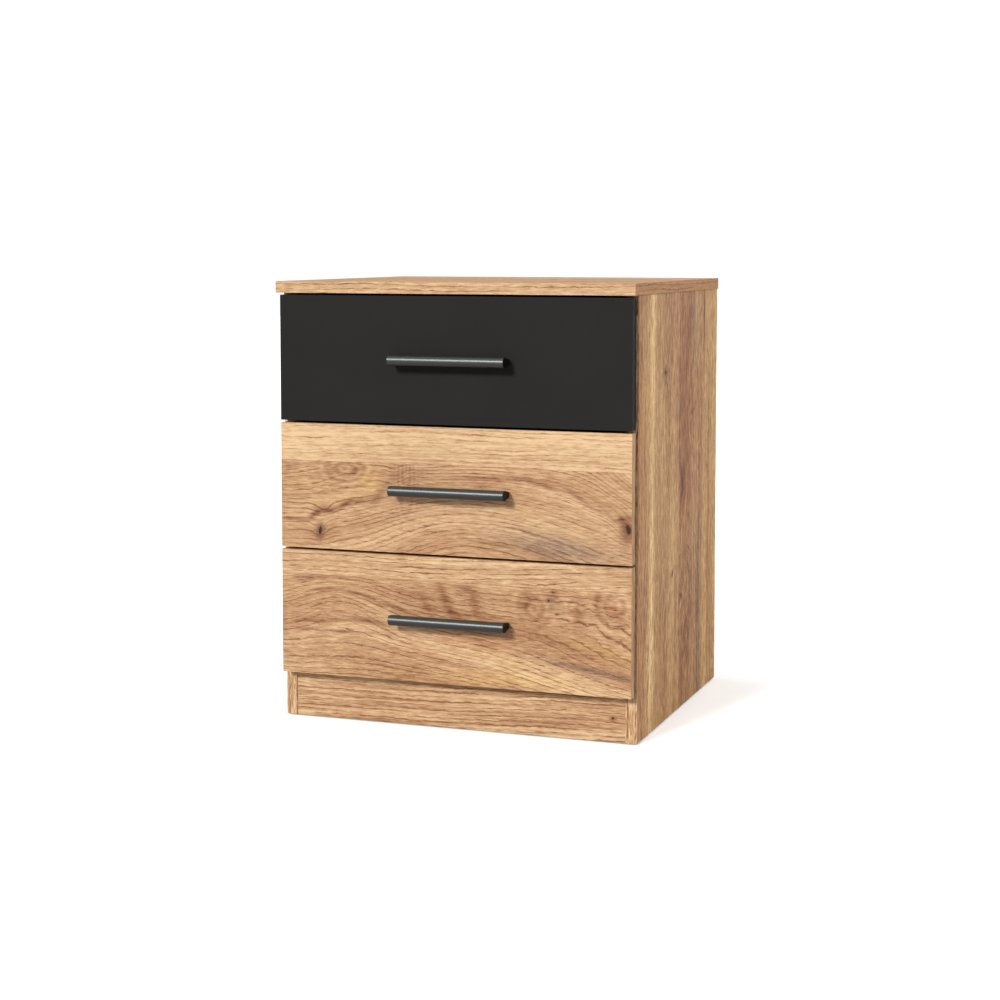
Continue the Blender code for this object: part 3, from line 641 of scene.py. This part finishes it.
def handle_bar(level, paint):
    """The bow handle again, with a finely rounded front and softened ends."""
    (left, face, low), (right, foot, high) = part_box(f"{level}_handle")
    middle = (low + high) / 2
    inner = right - LEG_WIDTH
    back = face + BAR_DEPTH
    shape = bmesh.new()
    layers = []
    corners = ((left, foot), (left, back), (left, face), (right, face), (right, back), (right, foot),
               (inner, foot), (inner, back), (-inner, back), (-inner, foot))
    tall = [FOOT_HEIGHT if y == foot else high - low for _, y in corners]
    for way in (-1, 1):
        spots = [(x, y, middle + way * height / 2) for (x, y), height in zip(corners, tall)]
        layers.append([shape.verts.new(spot) for spot in spots])
    for layer in layers:
        for loop in ((0, 1, 8, 9), (1, 2, 3, 4, 7, 8), (4, 5, 6, 7)):
            shape.faces.new([layer[corner] for corner in loop])
    below, above = layers
    for corner, vertex in enumerate(below):
        after = (corner + 1) % len(below)
        shape.faces.new((vertex, below[after], above[after], above[corner]))
    bmesh.ops.recalc_face_normals(shape, faces=shape.faces)
    front = [shape.edges.get((layer[2], layer[3])) for layer in layers]
    bmesh.ops.bevel(shape, geom=front, offset=BAR_ROUNDING, segments=BAR_STEPS, profile=0.5, affect="EDGES")
    mesh = bpy.data.meshes.new(f"{level}_handle_bar")
    shape.to_mesh(mesh)
    shape.free()
    mesh.shade_smooth()
    mesh.set_sharp_from_angle(angle=math.radians(SMOOTH_ANGLE))
    piece = new_piece(f"{level}_handle_bar", mesh, paint)
    rounded(piece, BAR_CORNER, 3)
    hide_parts(f"{level}_handle")
    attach(piece, f"{level}_drawer")


def back_nails(steel):
    """The row of nails that holds the thin back to the rear edge of the bottom panel."""
    (_, _, low), (reach, _, high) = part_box("bottom_panel")
    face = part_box("back_panel")[1][1]
    shape = bmesh.new()
    for index in range(NAIL_COUNT):
        x = (2 * index / (NAIL_COUNT - 1) - 1) * (reach - NAIL_FROM_END)
        others = set(shape.verts)
        rim = [shape.verts.new((radius, rise, 0.0)) for radius, rise in NAIL_HEAD]
        line = [shape.edges.new(pair) for pair in zip(rim, rim[1:])]
        bmesh.ops.spin(shape, geom=rim + line, cent=(0, 0, 0), axis=(0, 1, 0), steps=NAIL_STEPS,
                       angle=2 * math.pi, use_merge=True)
        head = [vertex for vertex in shape.verts if vertex not in others]
        bmesh.ops.translate(shape, verts=head, vec=(x, face, (low + high) / 2))
    bmesh.ops.remove_doubles(shape, verts=shape.verts, dist=0.000001)
    bmesh.ops.recalc_face_normals(shape, faces=shape.faces)
    mesh = bpy.data.meshes.new("back_nails")
    shape.to_mesh(mesh)
    shape.free()
    mesh.shade_smooth()
    mesh.set_sharp_from_angle(angle=math.radians(CORNER_ANGLE))
    piece = new_piece("back_nails", mesh, steel)
    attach(piece, "cabinet")


handle_metal = handle_paint()
for level in LEVELS:
    handle_bar(level, handle_metal)
wear(front_middle(), ["middle_drawer_front"], FRONT_EDGE)
wear(front_bottom(), ["bottom_drawer_front"], FRONT_EDGE)
wear(anthracite(), ["top_drawer_front"], FRONT_EDGE)
wear(side("oak_side_right", 51.0), ["side_panel_right"], PANEL_EDGE)
wear(side("oak_side_left", 61.0), ["side_panel_left"], PANEL_EDGE)
wear(plinth(), ["plinth_front", "plinth_rear"], PLINTH_EDGE)
wear(top(), ["top_panel", "bottom_panel"], FRONT_EDGE)
wear(melamine(), [f"{level}_drawer_{board}" for level in LEVELS
                  for board in ("side_left", "side_right", "back")], DRAWER_EDGE)
wear(hardboard(), ["back_panel"] + [f"{level}_drawer_bottom" for level in LEVELS])
wear(epoxy(), [f"{level}_{kind}_runner_{end}" for level in LEVELS
               for kind in ("cabinet", "drawer") for end in SIDES])
wear(nylon(), [f"{level}_{kind}_roller_{end}" for level in LEVELS
               for kind in ("cabinet", "drawer") for end in SIDES])
screw_zinc = zinc()
wear(screw_zinc, [f"{level}_handle_screw_{end}" for level in LEVELS for end in SIDES])
back_nails(screw_zinc)
wear(glide(), [f"glide_{place}_{end}" for place in ("front", "rear") for end in SIDES])
smooth([name for name in nodes if "roller" in name or "screw" in name or name.startswith("glide")])


# ------------------------------------------------------- floor, light, camera
FLOOR_REACH = 14.0
FLOOR_BOUNCE = (0.45, 0.45, 0.45)  # what the floor reflects onto the object
FLOOR_GLOW = 0.25  # brings its shadows up to a white background
SKY_LIGHT = 0.16
SKY_SEEN = 1.05
CAMERA_PLACE = (0.95513, -2.66537, 0.66640)
PITCH = 0.076334  # of the camera, downwards, in radians
YAW = 0.346346  # to its left, in radians
FOCAL_LENGTH = 70.04  # in millimetres, over a sensor 36 mm wide
LENS_SHIFT = -0.105


def floor():
    """A wide pale floor, which lights the object less than it shows."""
    mesh = bpy.data.meshes.new("floor")
    reach = FLOOR_REACH
    mesh.from_pydata([(-reach, -reach, 0), (reach, -reach, 0), (reach, reach, 0), (-reach, reach, 0)],
                     [], [(0, 1, 2, 3)])
    g = Graph("floor")
    seen = Value(g, g.tree.nodes.new("ShaderNodeLightPath").outputs["Is Camera Ray"])
    cloud = g.noise(g.x * 2.0, g.y * 2.0)
    pale = g.mix(0.5 + cloud * 0.5, (0.90, 0.90, 0.90), (0.93, 0.93, 0.93))
    g.set(Base_Color=g.mix(seen, FLOOR_BOUNCE, pale), Roughness=0.9, Emission_Color=(1.0, 1.0, 1.0),
          Emission_Strength=seen * FLOOR_GLOW)
    new_piece("floor", mesh, g.material)


def camera():
    """Looks at the front and the right side, from just above the top."""
    lens = bpy.data.cameras.new("camera")
    lens.sensor_width = 36.0
    lens.lens = FOCAL_LENGTH
    lens.shift_y = LENS_SHIFT
    piece = bpy.data.objects.new("camera", lens)
    bpy.context.scene.collection.objects.link(piece)
    piece.location = CAMERA_PLACE
    piece.rotation_euler = (math.pi / 2 - PITCH, 0.0, YAW)
    bpy.context.scene.camera = piece


def sun(name, towards, strength, softness):
    """A broad light from one side; towards is the way from the object to it, softness its angle."""
    lamp = bpy.data.lights.new(name, "SUN")
    lamp.energy = strength
    lamp.angle = math.radians(softness)
    piece = bpy.data.objects.new(name, lamp)
    bpy.context.scene.collection.objects.link(piece)
    flat = math.hypot(towards[0], towards[1])
    turn = math.atan2(towards[1], towards[0]) + math.pi / 2
    piece.rotation_euler = (math.atan2(flat, towards[2]), 0.0, turn)


def studio():
    """A white cyclorama that lights the object less than it shows."""
    world = bpy.data.worlds.new("studio")
    bpy.context.scene.world = world
    world.use_nodes = True
    tree = world.node_tree
    sky = tree.nodes["Background"]
    sky.inputs[0].default_value = (1.0, 1.0, 1.0, 1.0)
    path = tree.nodes.new("ShaderNodeLightPath")
    strength = tree.nodes.new("ShaderNodeMapRange")
    strength.inputs["To Min"].default_value = SKY_LIGHT
    strength.inputs["To Max"].default_value = SKY_SEEN
    tree.links.new(path.outputs["Is Camera Ray"], strength.inputs["Value"])
    tree.links.new(strength.outputs[0], sky.inputs[1])


floor()
camera()
studio()
bpy.context.scene.view_settings.view_transform = "Standard"
sun("key", (-0.26, -0.848, 0.470), 1.05 * math.pi, 13.0)
sun("right", (0.95, -0.1, 0.3), 0.50 * math.pi, 40.0)
sun("left", (-0.95, 0.1, 0.3), 0.40 * math.pi, 40.0)
sun("rear", (0.2, 0.9, 0.4), 0.45 * math.pi, 40.0)
sun("overhead", (0.0, -0.02, 1.0), 0.26 * math.pi, 40.0)
